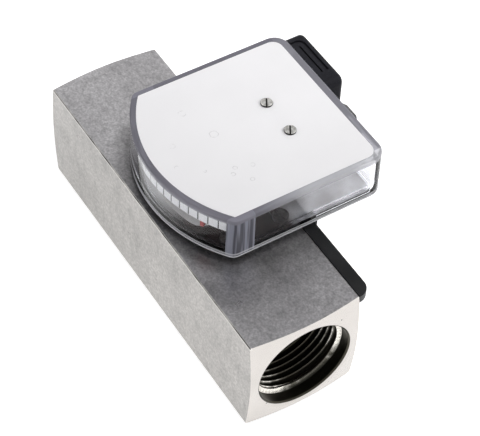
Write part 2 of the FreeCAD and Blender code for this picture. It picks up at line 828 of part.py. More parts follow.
def switch_body():
    """Microswitch case on its board, with two hinge cheeks for the leaf."""
    half = switch_length / 2
    case = box((-half, switch_y, switch_z), (half, switch_y + switch_depth, switch_z + switch_height))
    hole_y = switch_y + switch_depth - switch_hole_inset
    for side in (-1, 1):
        hole_x = side * (half - switch_hole_inset)
        case = case.cut(rod_z(switch_hole_radius, switch_z - 1, switch_z + switch_height + 1, hole_x, hole_y))
    pocket = plunger_radius + running_clearance
    centre_z = switch_z + switch_height / 2
    plunger_x = hinge_x + plunger_offset
    case = case.cut(rod_y(pocket, switch_y - 1, switch_y + switch_pocket_depth, plunger_x, centre_z))
    cheek_y = leaf_y + leaf_thickness / 2 - leaf_hinge_radius
    cheek = switch_cheek_thickness
    reach = leaf_width / 2 + 2 * slip_clearance
    for z0 in (centre_z - reach - cheek, centre_z + reach):
        case = case.fuse(box((hinge_x - cheek, cheek_y, z0), (hinge_x + cheek, switch_y, z0 + cheek)))
    hinge = rod_z(leaf_pin_radius, centre_z - leaf_width, centre_z + leaf_width, hinge_x,
                  leaf_y + leaf_thickness / 2)
    return case.cut(hinge).removeSplitter()


def switch_hinge_pin():
    centre_z = switch_z + switch_height / 2
    reach = leaf_width / 2 + 2 * slip_clearance + switch_cheek_thickness
    return rod_z(leaf_pin_radius, centre_z - reach, centre_z + reach, hinge_x, leaf_y + leaf_thickness / 2)


def switch_leaf():
    """Hinged metal leaf between the cam and the switch's plunger."""
    centre_z = switch_z + switch_height / 2
    low = centre_z - leaf_width / 2
    high = centre_z + leaf_width / 2
    eye_y = leaf_y + leaf_thickness / 2
    leaf = box((hinge_x, leaf_y, low), (hinge_x + leaf_length, leaf_y + leaf_thickness, high))
    leaf = leaf.fuse(rod_z(leaf_hinge_radius, low, high, hinge_x, eye_y))
    return leaf.cut(rod_z(leaf_pin_radius + running_clearance, low - 1, high + 1, hinge_x, eye_y))


def switch_plunger():
    centre_z = switch_z + switch_height / 2
    tip = leaf_y + leaf_thickness + slip_clearance
    plunger = rod_y(plunger_radius, tip, switch_y + switch_pocket_depth - 2 * plunger_press,
                    hinge_x + plunger_offset, centre_z)
    tip_edges = [edge for edge in plunger.Edges if edge.BoundBox.YMax < tip + 0.01]
    return plunger.makeFillet(plunger_radius / 2, tip_edges)


def switch_terminals():
    """Three flat legs from the switch down into its board."""
    legs = []
    y = switch_y + switch_depth / 2
    for i in (-1, 0, 1):
        x = i * terminal_pitch
        legs.append(box((x - terminal_width / 2, y - terminal_thickness / 2,
                         board_z + switch_board_thickness),
                        (x + terminal_width / 2, y + terminal_thickness / 2, switch_z)))
    return Part.Compound(legs)


def rounded_path(points, radius):
    """Wire through the points that turns each square corner on the given radius."""
    edges = []
    last = points[0]
    for before, corner, after in zip(points, points[1:], points[2:]):
        back = (before - corner).normalize()
        ahead = (after - corner).normalize()
        a = corner + back * radius
        b = corner + ahead * radius
        middle = corner + (back + ahead) * radius * (1 - math.sqrt(0.5))
        edges.append(Part.makeLine(last, a))
        edges.append(Part.Arc(a, middle, b).toShape())
        last = b
    edges.append(Part.makeLine(last, points[-1]))
    return Part.Wire(edges)


def lead_wires():
    """Leads soldered on the board's end that run over the grommet's lip and turn down its bore."""
    leads = []
    z = board_z + switch_board_thickness + lead_radius
    for i in range(lead_count):
        place = i - (lead_count - 1) / 2
        y = board_back_y - switch_board_width / 2 + place * lead_pitch
        start = vec(lead_solder - switch_board_length / 2, y, z)
        drop = vec(grommet_x - place * lead_drop_pitch, grommet_y + place * lead_drop_pitch, z)
        path = rounded_path([start, vec(drop.x, start.y, z), drop, vec(drop.x, drop.y, body_top)], lead_bend)
        section = Part.Wire(Part.makeCircle(lead_radius, start, vec(1, 0, 0)))
        leads.append(path.makePipeShell([section], True, False))
    return Part.Compound(leads)


def lead_grommet():
    """Rubber grommet in the floor, where the leads pass down to the socket."""
    lip_top = base_top + grommet_flange_height
    flange = rod_z(grommet_flange, base_top, lip_top, grommet_x, grommet_y)
    neck = rod_z(grommet_radius - slip_clearance, body_top, base_top, grommet_x, grommet_y)
    bore = rod_z(grommet_bore_radius, body_top, lip_top, grommet_x, grommet_y)
    return flange.fuse(neck).cut(bore).removeSplitter()


def side_rail():
    """Angle rail on the body's side that carries the housing's overhang and the socket."""
    flange = box((rail_far_x, rail_y, rail_flange_z), (rail_near_x, rail_outer_y, body_top))
    nose = [edge for edge in flange.Edges
            if edge.BoundBox.XMin > rail_near_x - 0.01 and edge.BoundBox.YMin > rail_outer_y - 0.01
            and edge.BoundBox.ZLength > 1]
    flange = flange.makeFillet(rail_end_round, nose)
    web = box((rail_far_x, rail_y, rail_web_bottom), (rail_web_near_x, rail_web_y, rail_flange_z))
    pad = box((rail_far_x, rail_y, plug_bottom_z), (plug_near_x, rail_web_y, rail_web_bottom))
    rail = flange.fuse(web).fuse(pad)
    for x in rail_screw_places():
        rail = rail.cut(rod_y(rail_screw_radius + slip_clearance, rail_y - 1, rail_web_y + 1, x,
                              rail_screw_z))
    return rail.removeSplitter()


def rail_screws():
    screws = []
    for x in rail_screw_places():
        head = rod_y(rail_screw_head, rail_web_y, rail_web_y + rail_screw_head_height, x, rail_screw_z)
        head = slotted(head, vec(x, rail_web_y, rail_screw_z), vec(0, 1, 0), rail_screw_head,
                       rail_screw_head_height)
        shank = rod_y(rail_screw_radius - slip_clearance, rail_y - rail_screw_depth, rail_web_y, x,
                      rail_screw_z)
        screws.append(head.fuse(shank))
    return Part.Compound(screws)


def rail_claws():
    """Two hooks under the housing's floor that grip the rail's flange."""
    claws = []
    back = rail_outer_y + slip_clearance
    low = rail_flange_z - slip_clearance - clip_claw_lip
    for side in (-1, 1):
        x0 = side * clip_claw_x - clip_claw_width / 2
        post = box((x0, back, low), (x0 + clip_claw_width, back + clip_claw_thickness, body_top))
        lip = box((x0, back - clip_claw_grip, low), (x0 + clip_claw_width, back, low + clip_claw_lip))
        claws.append(post.fuse(lip).removeSplitter())
    return Part.Compound(claws)


def socket_carrier():
    """Square socket housing on the rail, with the floor for the contacts at its open side."""
    foot = box((plug_far_x, rail_web_y, plug_bottom_z + socket_corner),
               (plug_near_x, socket_front_y, rail_flange_z - slip_clearance))
    shell = rounded_prism(plug_far_x, plug_near_x, plug_bottom_z, plug_top_z, socket_front_y, socket_back_y,
                          socket_corner)
    shell = shell.fuse(foot)
    shell = shell.cut(rod_y(socket_insert_radius, socket_back_y - socket_insert_length, socket_back_y + 1,
                            plug_x, plug_z))
    for blade in contact_pins().Solids:
        shell = shell.cut(blade)
    half = clip_claw_width / 2 + claw_clearance
    claw_room = box((-clip_claw_x - half, rail_web_y, rail_flange_z - clip_claw_lip - 2 * claw_clearance),
                    (-clip_claw_x + half, rail_outer_y + clip_claw_thickness + claw_clearance, body_top + 1))
    return shell.cut(claw_room).removeSplitter()


def socket_insert():
    """Brass threaded insert that takes the plug's long screw."""
    y0 = socket_back_y - socket_insert_length
    body = rod_y(socket_insert_radius, y0, socket_back_y, plug_x, plug_z)
    return body.cut(rod_y(plug_screw_radius, y0 - 1, socket_back_y + 1, plug_x, plug_z))


def pin_places():
    """Middle of each contact with the way its flat side runs."""
    places = []
    for i in range(4):
        angle = math.radians(90.0 * i)
        places.append((plug_x + pin_circle * math.cos(angle), plug_z + pin_circle * math.sin(angle), i % 2))
    return places


def contact_blade(x, z, flat, gap, y0, y1):
    half_wide = pin_width / 2 + gap
    half_thin = pin_thickness / 2 + gap
    half_x = half_wide if flat else half_thin
    half_z = half_thin if flat else half_wide
    return box((x - half_x, y0, z - half_z), (x + half_x, y1, z + half_z))


def contact_pins():
    """Four flat contacts through the socket's floor."""
    y0 = socket_back_y - pin_root
    y1 = socket_back_y + pin_reach
    return Part.Compound([contact_blade(x, z, flat, 0.0, y0, y1) for x, z, flat in pin_places()])


def plug_gasket():
    """Flat profile seal between the socket and the plug."""
    gasket = rounded_prism(plug_far_x, plug_near_x, plug_bottom_z, plug_top_z, socket_back_y, plug_face_y,
                           gasket_corner)
    inside = rounded_prism(plug_far_x + plug_wall, plug_near_x - plug_wall, plug_bottom_z + plug_wall,
                           plug_top_z - plug_wall, socket_back_y - 1, plug_face_y + 1, gasket_corner)
    return gasket.cut(inside)


def plug_grooves():
    """Arched groove and a straight slot inside it in the plug's top face, the arch closed towards -X."""
    low = plug_top_z - plug_groove_depth
    high = plug_top_z + 1
    far_x = plug_far_x + plug_groove_inset
    run_x = far_x + plug_groove_run
    front_y = plug_face_y + plug_groove_inset
    back_y = plug_end_y - plug_groove_end_inset
    rings = []
    for step in (0.0, plug_groove_width):
        ring = box((far_x + step, front_y + step, low), (run_x + 1, back_y - step, high))
        bends = [edge for edge in ring.Edges if edge.BoundBox.XMax < far_x + step + 0.01
                 and edge.BoundBox.ZLength > plug_groove_depth]
        rings.append(ring.makeFillet(plug_groove_corner - step, bends))
    arch = rings[0].cut(rings[1]).common(box((far_x, front_y, low), (run_x, back_y, high)))
    slot_y = back_y - plug_groove_width - plug_slot_gap
    slot = box((far_x + plug_slot_inset, slot_y - plug_slot_width, low), (run_x, slot_y, high))
    return Part.Compound([arch, slot])


def plug_housing():
    """Plug shell with rounded edges, the gland's boss and the arched grooves on top."""
    shell = rounded_prism(plug_far_x, plug_near_x, plug_bottom_z, plug_top_z, plug_face_y, plug_end_y,
                          plug_corner)
    rim = [edge for edge in shell.Edges if edge.BoundBox.YMin > plug_end_y - 0.01]
    shell = shell.makeFillet(plug_end_round, rim)
    hollow = box((plug_far_x + plug_wall, plug_face_y - 1, plug_bottom_z + plug_wall),
                 (plug_near_x - plug_wall, plug_end_y - 2 * plug_wall, plug_top_z - plug_wall))
    boss = rod_x(gland_boss_radius, plug_near_x - plug_wall, gland_end_x, gland_y, gland_z)
    shell = shell.fuse(boss).cut(hollow)
    shell = shell.cut(rod_x(gland_seal_radius, plug_near_x - plug_wall - 2, gland_end_x + 1, gland_y,
                            gland_z))
    shell = shell.cut(rod_y(plug_screw_radius + plug_screw_play, plug_face_y, plug_end_y + 1, plug_x, plug_z))
    shell = shell.cut(rod_y(plug_screw_head + plug_head_play, plug_end_y - plug_screw_recess,
                            plug_end_y + 1, plug_x, plug_z))
    return shell.cut(plug_grooves()).removeSplitter()


def plug_insert():
    """Terminal block inside the plug, with a slot for each contact and a hole for the long screw."""
    gap = slip_clearance * 3
    y1 = plug_end_y - 2 * plug_wall - terminal_room
    block = box((plug_far_x + plug_wall + gap, plug_face_y, plug_bottom_z + plug_wall + gap),
                (plug_near_x - plug_wall - gap, y1, plug_top_z - plug_wall - gap))
    for x, z, flat in pin_places():
        block = block.cut(contact_blade(x, z, flat, slip_clearance * 2, plug_face_y - 1,
                                        plug_face_y + pin_reach + 1))
    return block.cut(rod_y(plug_screw_radius + plug_screw_play, plug_face_y - 1, y1 + 1, plug_x, plug_z))


def plug_screw():
    """Long screw through the plug into the socket's insert."""
    seat = plug_end_y - plug_screw_recess
    head = rod_y(plug_screw_head, seat, seat + plug_screw_head_height, plug_x, plug_z)
    head = slotted(head, vec(plug_x, seat, plug_z), vec(0, 1, 0), plug_screw_head, plug_screw_head_height)
    shank = rod_y(plug_screw_radius - slip_clearance, socket_back_y - socket_insert_length + screw_end_gap,
                  seat, plug_x, plug_z)
    return head.fuse(shank)


def gland_nut():
    """Union nut of the gland, faceted round its grip and domed at its mouth."""
    x0 = gland_end_x + gland_gap
    x1 = x0 + gland_nut_length
    circle = gland_nut_radius / math.cos(math.pi / gland_nut_flats)
    points = []
    for i in range(gland_nut_flats + 1):
        angle = 2 * math.pi * (i + 0.5) / gland_nut_flats
        points.append(vec(x0, gland_y + circle * math.cos(angle), gland_z + circle * math.sin(angle)))
    nut = Part.Face(Part.makePolygon(points)).extrude(vec(x1 - x0, 0, 0))
    dome = Part.makeCone(gland_nut_radius + gland_nut_flare, gland_nut_radius - gland_nut_dome, x1 - x0,
                         vec(x0, gland_y, gland_z), vec(1, 0, 0))
    nut = nut.common(dome)
    nut = nut.cut(rod_x(gland_nut_inner, x0 - 1, x1 - gland_nut_roof, gland_y, gland_z))
    return nut.cut(rod_x(gland_nut_mouth, x0, x1 + 1, gland_y, gland_z))


def gland_seal():
    """Rubber sleeve squeezed round the cable inside the gland."""
    x0 = plug_near_x - plug_wall + gland_seal_gap
    x1 = gland_end_x + gland_gap + gland_nut_length - gland_nut_roof - gland_seal_gap
    seal = rod_x(gland_seal_radius - slip_clearance, x0, x1, gland_y, gland_z)
    return seal.cut(rod_x(gland_bore_radius, x0 - 1, x1 + 1, gland_y, gland_z))


parts = {
    "flow_body": flow_body(),
    "metering_sleeve": metering_sleeve(),
    "sleeve_seal": sleeve_seal(),
    "inlet_spider": spider(front_spider_x),
    "outlet_spider": spider(shoulder_x),
    "guide_rod": guide_rod(),
    "stop_ring": stop_ring(),
    "retaining_ring": retaining_ring(),
    "piston": piston(),
    "ring_magnet": ring_magnet(),
    "magnet_cap": magnet_cap(),
    "return_spring": return_spring(),
    "base_plate": base_plate(),
    "hood": hood(),
    "top_plate": top_plate(),
    "cover_screws": cover_screws(),
    "base_screws": base_screws(),
    "pointer_bridge": pointer_bridge(),
    "bridge_pillars": bridge_pillars(),
    "pivot_pin": pivot_pin(),
    "pointer_lever": pointer_lever(),
    "pointer_bush": pointer_bush(),
    "follower_magnet": follower_magnet(),
    "pointer_flag": pointer_flag(),
    "counterweight": counterweight(),
    "setpoint_cam": setpoint_cam(),
    "scale_band": scale_band(),
    "switch_board": switch_board(),
    "switch_body": switch_body(),
    "switch_hinge_pin": switch_hinge_pin(),
    "switch_leaf": switch_leaf(),
    "switch_plunger": switch_plunger(),
    "switch_terminals": switch_terminals(),
    "lead_wires": lead_wires(),
    "lead_grommet": lead_grommet(),
    "side_rail": side_rail(),
    "rail_screws": rail_screws(),
    "rail_claws": rail_claws(),
    "socket_carrier": socket_carrier(),
    "socket_insert": socket_insert(),
    "contact_pins": contact_pins(),
    "plug_gasket": plug_gasket(),
    "plug_housing": plug_housing(),
    "plug_insert": plug_insert(),
    "plug_screw": plug_screw(),
    "gland_nut": gland_nut(),
    "gland_seal": gland_seal(),
}

for name, shape in parts.items():
    shape.exportStep("parts/" + name + ".step")
    print(name, "valid" if shape.isValid() else "INVALID", len(shape.Solids), round(shape.Volume, 2))
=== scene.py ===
import bpy
import bmesh
import json
import math
from functools import partial
from mathutils import Matrix, Vector


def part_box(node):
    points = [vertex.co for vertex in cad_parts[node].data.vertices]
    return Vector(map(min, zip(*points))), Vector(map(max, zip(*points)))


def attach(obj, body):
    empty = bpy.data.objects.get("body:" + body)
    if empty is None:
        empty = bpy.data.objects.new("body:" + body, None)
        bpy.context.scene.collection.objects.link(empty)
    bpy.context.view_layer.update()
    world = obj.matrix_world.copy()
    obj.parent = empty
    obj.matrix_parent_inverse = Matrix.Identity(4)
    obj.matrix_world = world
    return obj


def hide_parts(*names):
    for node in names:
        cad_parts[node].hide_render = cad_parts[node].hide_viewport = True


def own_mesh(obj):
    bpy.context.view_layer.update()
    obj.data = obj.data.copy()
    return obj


# Variable area flow meter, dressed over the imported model. Metres, in the model's own frame:
# x along the flow axis with the inlet at +x, z up, the underside of the body on z = 0.

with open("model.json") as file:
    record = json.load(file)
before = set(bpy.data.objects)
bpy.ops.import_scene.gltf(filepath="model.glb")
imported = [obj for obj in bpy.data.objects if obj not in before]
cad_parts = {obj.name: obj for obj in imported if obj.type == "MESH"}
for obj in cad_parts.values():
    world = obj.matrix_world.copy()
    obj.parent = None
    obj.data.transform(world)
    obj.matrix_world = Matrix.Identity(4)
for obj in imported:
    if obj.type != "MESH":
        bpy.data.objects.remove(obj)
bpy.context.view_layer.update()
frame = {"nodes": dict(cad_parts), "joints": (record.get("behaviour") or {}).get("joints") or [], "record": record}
scene = bpy.context.scene
mm = 0.001
print("model loaded:", len(frame["nodes"]), "nodes")

# Places read from the model
joints = {joint["name"]: joint for joint in frame["joints"]}
bodyLow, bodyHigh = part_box("flow_body")
endX = bodyHigh.x
flowZ = (bodyLow.z + bodyHigh.z) / 2
sideY = bodyHigh.y
hoodLow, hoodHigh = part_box("hood")
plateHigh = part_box("top_plate")[1]
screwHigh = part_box("cover_screws")[1]
bandLow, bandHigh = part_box("scale_band")
pivot = Vector(joints["pointer_turn"]["pos_m"])
bandRadius = pivot.y - bandLow.y


# Small helpers for materials

def feed(mat, value, socket):                      # a socket is wired, anything else is set
    if isinstance(value, bpy.types.NodeSocket):
        mat.node_tree.links.new(value, socket)
    elif isinstance(value, tuple) and len(value) == 3 and socket.type == "RGBA":
        socket.default_value = (*value, 1.0)
    else:
        socket.default_value = value


def addNode(mat, kind, **inputs):
    node = mat.node_tree.nodes.new(kind)
    for key, value in inputs.items():
        feed(mat, value, node.inputs[key])
    return node


def newMaterial(name):
    mat = bpy.data.materials.new(name)
    mat.use_nodes = True
    mat.node_tree.nodes.clear()
    shader = addNode(mat, "ShaderNodeBsdfPrincipled")
    addNode(mat, "ShaderNodeOutputMaterial", Surface=shader.outputs["BSDF"])
    return mat, shader


def onObject(mat, output="Object"):
    return addNode(mat, "ShaderNodeTexCoord").outputs[output]


def split(mat, vector):
    parts = addNode(mat, "ShaderNodeSeparateXYZ", Vector=vector)
    return parts.outputs["X"], parts.outputs["Y"], parts.outputs["Z"]


def sums(operation, mat, *values):
    node = mat.node_tree.nodes.new("ShaderNodeMath")
    node.operation = operation
    for value, socket in zip(values, node.inputs):
        feed(mat, value, socket)
    return node.outputs["Value"]


plus = partial(sums, "ADD")
minus = partial(sums, "SUBTRACT")
times = partial(sums, "MULTIPLY")
most = partial(sums, "MAXIMUM")
absolute = partial(sums, "ABSOLUTE")
over = partial(sums, "GREATER_THAN")               # 1 where the first value is the larger one
under = partial(sums, "LESS_THAN")


def ramp(mat, value, low, high, toLow=0.0, toHigh=1.0):
    node = addNode(mat, "ShaderNodeMapRange", Value=value)
    node.inputs["From Min"].default_value = low
    node.inputs["From Max"].default_value = high
    node.inputs["To Min"].default_value = toLow
    node.inputs["To Max"].default_value = toHigh
    return node.outputs["Result"]


def blend(mat, share, first, second, mode="MIX"):
    node = mat.node_tree.nodes.new("ShaderNodeMix")
    node.data_type = "RGBA"
    node.blend_type = mode
    feed(mat, share, node.inputs[0])
    feed(mat, first, node.inputs[6])
    feed(mat, second, node.inputs[7])
    return node.outputs[2]


def shaded(mat, tone, shade):
    return blend(mat, 1.0, tone, shade, "MULTIPLY")


def cloud(mat, scale, detail, stretch=(1.0, 1.0, 1.0)):
    place = addNode(mat, "ShaderNodeMapping", Vector=onObject(mat))
    place.inputs["Scale"].default_value = stretch
    noise = addNode(mat, "ShaderNodeTexNoise", Vector=place.outputs["Vector"], Scale=scale, Detail=detail)
    return noise.outputs[0]


def wander(mat, look, width):                      # a cloud that strays to both sides of nought
    return times(mat, minus(mat, cloud(mat, *look), 0.5), width)


def axisDistance(mat):                             # how far from the flow axis
    y, z = split(mat, onObject(mat))[1:]
    height = minus(mat, z, flowZ)
    return sums("SQRT", mat, plus(mat, times(mat, y, y), times(mat, height, height)))


def nearTo(mat, spot):                             # distance from one place
    node = addNode(mat, "ShaderNodeVectorMath")
    node.operation = "DISTANCE"
    feed(mat, onObject(mat), node.inputs[0])
    node.inputs[1].default_value = spot
    return node.outputs["Value"]


def bumped(mat, shader, height, depth):
    node = addNode(mat, "ShaderNodeBump", Height=height, Strength=1.0, Distance=depth)
    feed(mat, node.outputs["Normal"], shader.inputs["Normal"])


finishLook = {"patchDetail": 4.0, "patchEdge": (0.35, 0.65), "grainDetail": 2.0, "softEdge": (0.3, 0.7),
              "spread": 0.06}


def newFinish(name, look):                         # colour patches, fine grain, uneven gloss
    mat, shader = newMaterial(name)
    patches = cloud(mat, look["patch"], finishLook["patchDetail"])
    grain = cloud(mat, look["grain"], finishLook["grainDetail"], look.get("stretch", (1.0, 1.0, 1.0)))
    tone = blend(mat, ramp(mat, patches, *finishLook["patchEdge"]), look["colour"], look["second"])
    fleck = ramp(mat, grain, *finishLook["softEdge"], 1 - look["fleck"], 1 + look["fleck"])
    feed(mat, shaded(mat, tone, fleck), shader.inputs["Base Color"])
    smooth = look["rough"] - finishLook["spread"]
    dull = look["rough"] + finishLook["spread"]
    feed(mat, ramp(mat, patches, *finishLook["softEdge"], smooth, dull), shader.inputs["Roughness"])
    shader.inputs["Metallic"].default_value = look.get("metal", 0.0)
    shader.inputs["Specular IOR Level"].default_value = look.get("specular", 0.5)
    bumped(mat, shader, grain, look["depth"])
    return mat


def fadeTo(mat, share, colour):                    # carries a finish over to another colour
    shader = next(node for node in mat.node_tree.nodes if node.type == "BSDF_PRINCIPLED")
    socket = shader.inputs["Base Color"]
    feed(mat, blend(mat, share, socket.links[0].from_socket, colour), socket)
    return shader


# Square body: blasted flats and ends faced on a lathe, with painted light: each face direction is toned for how
# light falls on it, the faced ends brighter, and the bore painted dark as shade.
# Here and below a cloud is given as (scale, detail) or (scale, detail, stretch).

bodyLook = {
    "flat": (0.365, 0.352, 0.337), "flatSecond": (0.465, 0.449, 0.431),
    "top": (0.465, 0.453, 0.46), "topSecond": (0.61, 0.597, 0.604),
    "end": (0.63, 0.60, 0.57), "endSecond": (0.58, 0.55, 0.52), "facing": 0.9,
    "bore": (0.065, 0.060, 0.047), "boreSecond": (0.030, 0.028, 0.022), "boreRadius": 17.10 * mm,
    "patch": (55.0, 5.0), "patchShare": 0.6, "patchEdge": (0.40, 0.60),
    "drift": (18.0, 2.0), "driftShare": 0.4,
    "grain": (1500.0, 3.0), "grainEdge": (0.32, 0.68), "fleck": (0.82, 1.18),
    "speckle": (700.0, 2.0), "speckleEdge": (0.34, 0.66), "speckleShade": (0.87, 1.13),
    "stain": (240.0, 6.0, (1.0, 1.0, 0.6)), "stainEdge": (0.50, 0.66), "stainShade": (1.0, 0.86),
    "footRun": (1.0 * mm, 6.5 * mm), "footShade": (0.46, 1.0),
    "edgeShadeAndDots": (0.06, 0.058, 0.056), "edgeWidth": 0.34 * mm,
    "edgeHighlight": (0.80, 0.78, 0.75), "highlightWidth": 0.45 * mm, "highlightShare": 0.6,
    "mottle": (160.0, 3.0), "mottleEdge": (0.35, 0.6), "mottleShare": (0.35, 0.95),
    "dotScale": 95.0, "dotRare": 0.86, "dotSize": 0.035, "dotShare": 0.6,
    "burrs": ((12.7, 34.7), (5.6, 39.3), (3.7, 0.4), (10.5, 3.1), (-13.6, 9.2)),
    "burrSize": 0.30 * mm, "burrShare": 0.8,
    "rough": (0.27, 0.36), "facedGloss": 0.08, "facedSmooth": 0.85,
    "ringGap": 0.5 * mm, "ringDepth": 0.25, "bumpDepth": 0.035 * mm,
}


def bodyFinish(look):
    mat, shader = newMaterial("blastedNickel")
    x, y, z = split(mat, onObject(mat))
    facing = split(mat, onObject(mat, "Normal"))
    isTop = over(mat, facing[2], look["facing"])
    isEnd = over(mat, absolute(mat, facing[0]), look["facing"])
    radius = axisDistance(mat)
    isBore = under(mat, radius, look["boreRadius"])
    grain = cloud(mat, *look["grain"])
    patches = cloud(mat, *look["patch"])
    drift = cloud(mat, *look["drift"])
    mixed = plus(mat, times(mat, patches, look["patchShare"]), times(mat, drift, look["driftShare"]))
    share = ramp(mat, mixed, *look["patchEdge"])
    # painted light: the top and the sides, one blasted metal, get tones of their own for how light falls on each
    side = blend(mat, share, look["flat"], look["flatSecond"])
    top = blend(mat, share, look["top"], look["topSecond"])
    # painted shade and reflection: the top is painted darker close to the housing's walls, for the dark foot of
    # the housing that it would mirror
    fromArc = minus(mat, nearTo(mat, (pivot.x, pivot.y, bodyHigh.z)), pivot.y - hoodLow.y)
    fromWall = minus(mat, absolute(mat, x), hoodHigh.x)
    top = shaded(mat, top, ramp(mat, most(mat, fromArc, fromWall), *look["footRun"], *look["footShade"]))
    # painted light: the faced ends are toned brighter, partly for their smoother finish
    end = blend(mat, share, look["endSecond"], look["end"])
    # painted shade: the bore is painted dark
    bore = blend(mat, share, look["boreSecond"], look["bore"])
    flat = blend(mat, isTop, side, top)
    fleck = ramp(mat, grain, *look["grainEdge"], *look["fleck"])
    speckle = ramp(mat, cloud(mat, *look["speckle"]), *look["speckleEdge"], *look["speckleShade"])
    flat = shaded(mat, flat, times(mat, fleck, speckle))
    flat = shaded(mat, flat, ramp(mat, cloud(mat, *look["stain"]), *look["stainEdge"], *look["stainShade"]))
    flat = blend(mat, isEnd, flat, end)
    # painted shade and highlight: a thin dark line is painted where two flats meet, with a painted bright line
    # beside it on the sides
    fromSide = minus(mat, sideY, absolute(mat, y))
    fromTop = minus(mat, flowZ, absolute(mat, minus(mat, z, flowZ)))
    corner = most(mat, fromSide, fromTop)
    highlightBand = under(mat, corner, look["edgeWidth"] + look["highlightWidth"])
    highlightBand = times(mat, highlightBand, minus(mat, 1.0, isTop))
    flat = blend(mat, times(mat, highlightBand, look["highlightShare"]), flat, look["edgeHighlight"])
    line = under(mat, corner, look["edgeWidth"])
    # a cloud makes the painted dark edge line uneven
    mottle = ramp(mat, cloud(mat, *look["mottle"]), *look["mottleEdge"], *look["mottleShare"])
    flat = blend(mat, times(mat, line, mottle), flat, look["edgeShadeAndDots"])
    # a few dark dots of handling on the flats
    dots = addNode(mat, "ShaderNodeTexVoronoi", Vector=onObject(mat), Scale=look["dotScale"])
    rare = over(mat, split(mat, dots.outputs["Color"])[0], look["dotRare"])
    small = under(mat, dots.outputs["Distance"], look["dotSize"])
    flat = blend(mat, times(mat, times(mat, rare, small), look["dotShare"]), flat, look["edgeShadeAndDots"])
    for across, up in look["burrs"]:               # small burrs on the inlet's face
        burr = under(mat, nearTo(mat, (endX, across * mm, up * mm)), look["burrSize"])
        flat = blend(mat, times(mat, burr, look["burrShare"]), flat, look["edgeShadeAndDots"])
    feed(mat, blend(mat, isBore, flat, bore), shader.inputs["Base Color"])
    shader.inputs["Metallic"].default_value = 1.0
    matt = ramp(mat, patches, *finishLook["softEdge"], *look["rough"])
    feed(mat, minus(mat, matt, times(mat, isEnd, look["facedGloss"])), shader.inputs["Roughness"])
    rings = sums("SINE", mat, times(mat, radius, 2 * math.pi / look["ringGap"]))
    turned = times(mat, rings, times(mat, isEnd, look["ringDepth"]))
    blasted = times(mat, grain, minus(mat, 1.0, times(mat, isEnd, look["facedSmooth"])))
    bumped(mat, shader, plus(mat, blasted, turned), look["bumpDepth"])
    return mat


# Clear moulded plastic of the hood and its floor: the rim and the solid front corners are painted lilac grey,
# painted light for light bent through the thick plastic

clearLook = {
    "clear": (0.90, 0.905, 0.93), "ior": 1.22, "specular": 0.35,
    "rim": (0.245, 0.24, 0.28), "rimOpen": (0.56, 0.56, 0.59),
    "rimRun": (2.0 * mm, 1.4 * mm), "rimShare": 0.35,
    "openX": 28.5 * mm, "openRun": (2.0 * mm, 20.0 * mm), "backFrom": 46.5 * mm, "backShare": 0.22,
    "post": (0.36, 0.37, 0.44), "postDark": (0.13, 0.13, 0.155), "postX": 29.7 * mm, "postY": 0.8 * mm,
    "postShare": 0.30, "streak": (1.0, 2.0, (900.0, 900.0, 30.0)), "streakEdge": (0.42, 0.60),
    "foot": (0.70, 0.70, 0.73), "footLine": (-0.01 * mm, 0.50 * mm), "footShare": 0.25,
    "secondLine": (1.0 * mm, 1.7 * mm), "secondShare": 0.62, "wallDepth": 1.0 * mm, "arcFrom": 48.4 * mm,
    "gloss": (240.0, 3.0), "glossEdge": (0.35, 0.75), "rough": (0.02, 0.07),
    "flow": (90.0, 2.0), "flowDepth": 0.03 * mm,
}


def clearFinish(look):
    mat, shader = newMaterial("clearPlastic")
    x, y, z = split(mat, onObject(mat))
    # painted light: the top of the wall is painted as a grey, less clear rim band
    rim = ramp(mat, z, hoodHigh.z - look["rimRun"][0], hoodHigh.z - look["rimRun"][1])
    isPost = over(mat, absolute(mat, x), look["postX"])
    isPost = times(mat, isPost, under(mat, y, look["postY"]))
    isPost = times(mat, isPost, over(mat, z, hoodLow.z))
    # painted light: the rim's side towards the inlet is painted paler, as if seen through to the light inside, its
    # back a little
    opened = times(mat, over(mat, x, look["openX"]), ramp(mat, y, *look["openRun"]))
    opened = most(mat, opened, times(mat, over(mat, y, look["backFrom"]), look["backShare"]))
    rimTone = blend(mat, opened, look["rim"], look["rimOpen"])
    # painted light: the solid front corners are painted lilac grey with darker streaks
    streaks = ramp(mat, cloud(mat, *look["streak"]), *look["streakEdge"])
    tone = blend(mat, isPost, look["clear"], blend(mat, streaks, look["post"], look["postDark"]))
    # painted highlight: the lower edge of the wall is painted as two thin bright lines, where the polished edge
    # would catch the light
    lines = []
    for low, high in (look["footLine"], look["secondLine"]):
        lines.append(times(mat, over(mat, z, hoodLow.z + low), under(mat, z, hoodLow.z + high)))
    footHighlight = most(mat, lines[0], times(mat, lines[1], look["secondShare"]))
    onWall = over(mat, absolute(mat, x), hoodHigh.x - look["wallDepth"])
    onArc = over(mat, nearTo(mat, (pivot.x, pivot.y, hoodLow.z)), look["arcFrom"])
    footHighlight = times(mat, footHighlight, most(mat, onWall, onArc))
    tone = blend(mat, footHighlight, tone, look["foot"])
    feed(mat, blend(mat, rim, tone, rimTone), shader.inputs["Base Color"])
    through = ramp(mat, isPost, 0.0, 1.0, 1.0, look["postShare"])
    blocked = most(mat, times(mat, rim, 1.0 - look["rimShare"]), times(mat, footHighlight, 1.0 - look["footShare"]))
    feed(mat, times(mat, through, minus(mat, 1.0, blocked)), shader.inputs["Transmission Weight"])
    shader.inputs["IOR"].default_value = look["ior"]
    shader.inputs["Specular IOR Level"].default_value = look["specular"]
    gloss = ramp(mat, cloud(mat, *look["gloss"]), *look["glossEdge"], *look["rough"])
    feed(mat, gloss, shader.inputs["Roughness"])
    bumped(mat, shader, cloud(mat, *look["flow"]), look["flowDepth"])
    return mat


# White enamelled plate with the faint rings that small bubbles leave under it

